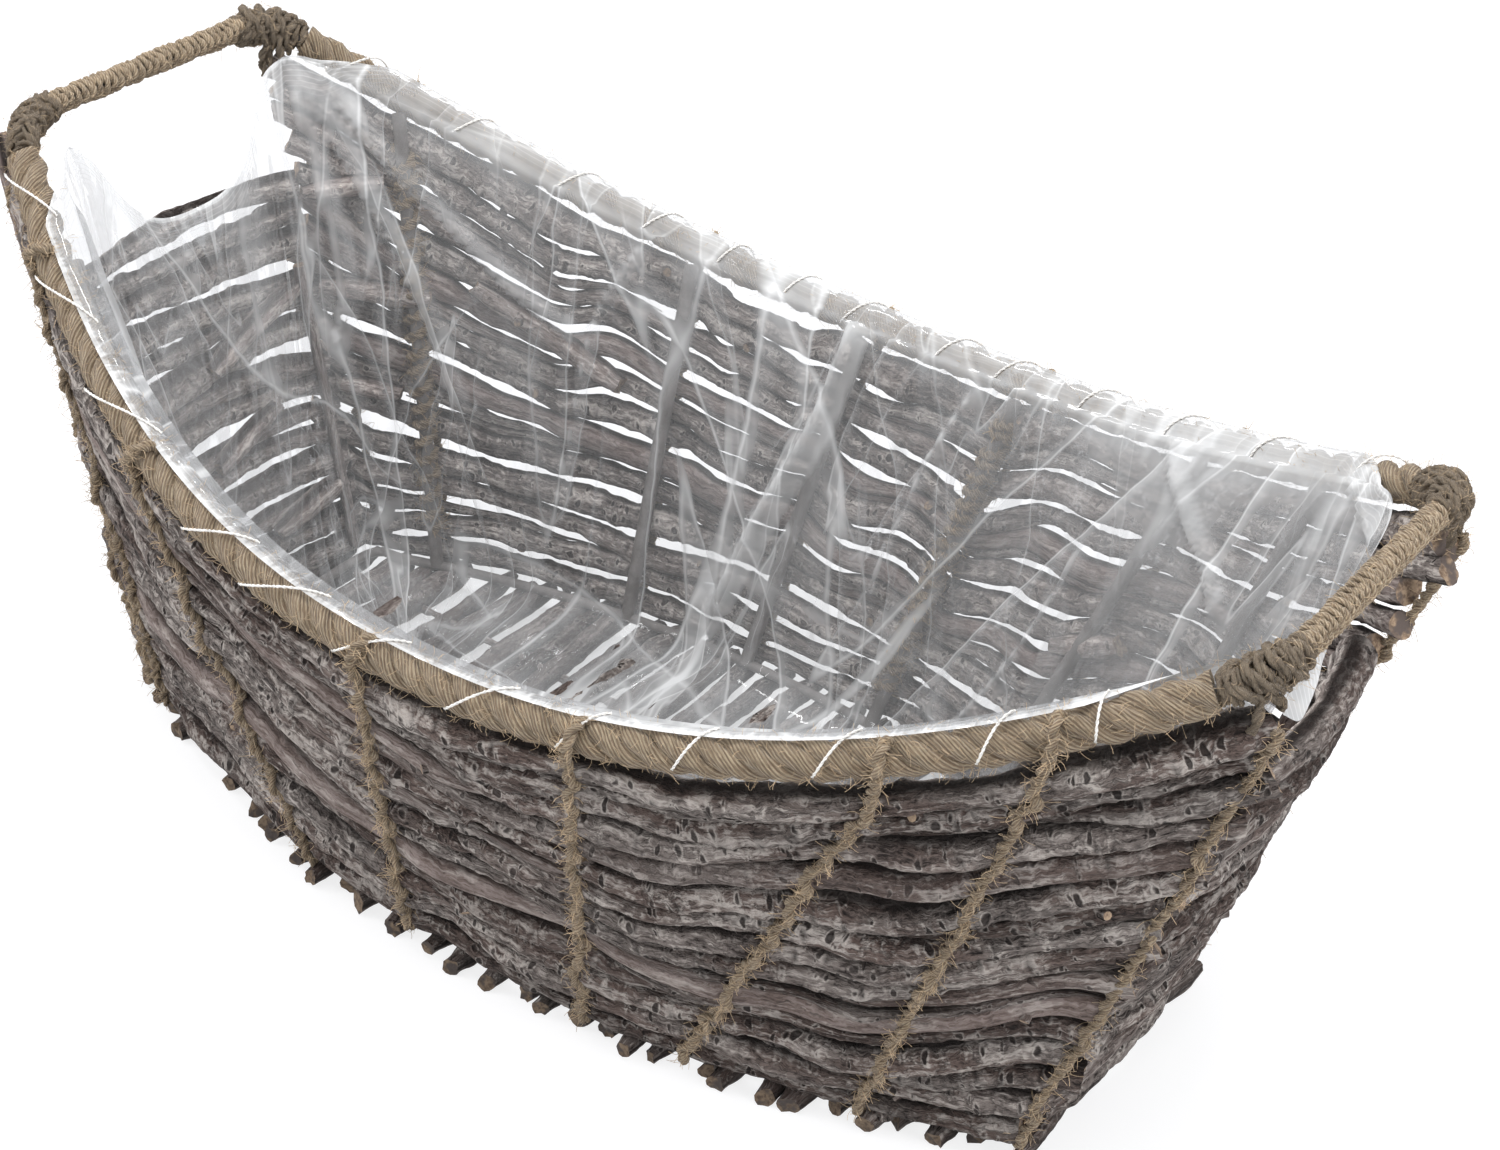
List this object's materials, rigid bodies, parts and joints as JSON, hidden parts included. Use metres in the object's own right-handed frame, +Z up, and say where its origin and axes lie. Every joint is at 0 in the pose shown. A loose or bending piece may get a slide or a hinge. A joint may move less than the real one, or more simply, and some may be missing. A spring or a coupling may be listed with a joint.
{
  "type": "coco stick planter",
  "caption": "Boat-shaped basket planter of lashed sticks with raised ends, rope-bound rim, two fixed handles over hand-holes and a clear film liner.",
  "frame": {"origin": "On the surface that the floor sticks rest on, under the middle of the basket", "axes": "+X along the basket towards the right handle, +Y across it towards the back wall, +Z up"},
  "size_m": [0.5237, 0.311, 0.2352],
  "materials": {
    "stick": "rough grey-brown bark",
    "jute": "natural jute rope and twine",
    "wire": "plain dark wire",
    "film": "clear glossy film with folds"
  },
  "bodies": {
    "root": {"front_stick_01": "stick", "front_stick_02": "stick", "front_stick_03": "stick", "front_stick_04": "stick", "front_stick_05": "stick", "front_stick_06": "stick", "front_stick_07": "stick", "front_stick_08": "stick", "front_stick_09": "stick", "front_stick_10": "stick", "front_stick_11": "stick", "front_stick_12": "stick", "front_stick_13": "stick", "back_stick_01": "stick", "back_stick_02": "stick", "back_stick_03": "stick", "back_stick_04": "stick", "back_stick_05": "stick", "back_stick_06": "stick", "back_stick_07": "stick", "back_stick_08": "stick", "back_stick_09": "stick", "back_stick_10": "stick", "back_stick_11": "stick", "back_stick_12": "stick", "back_stick_13": "stick", "left_end_wall": "stick", "right_end_wall": "stick", "floor": "stick", "front_tie_1": "jute", "front_tie_2": "jute", "front_tie_3": "jute", "front_tie_4": "jute", "front_tie_5": "jute", "front_tie_6": "jute", "front_tie_7": "jute", "front_tie_8": "jute", "back_tie_1": "jute", "back_tie_2": "jute", "back_tie_3": "jute", "back_tie_4": "jute", "back_tie_5": "jute", "back_tie_6": "jute", "back_tie_7": "jute", "back_tie_8": "jute", "front_rim_rope": "jute", "back_rim_rope": "jute", "left_handle_winding": "jute", "right_handle_winding": "jute", "front_left_corner_binding": "jute", "front_right_corner_binding": "jute", "back_left_corner_binding": "jute", "back_right_corner_binding": "jute", "rim_wire": "wire", "front_base_frame": "wire", "back_base_frame": "wire", "film_liner": "film"}
  },
  "joints": []
}
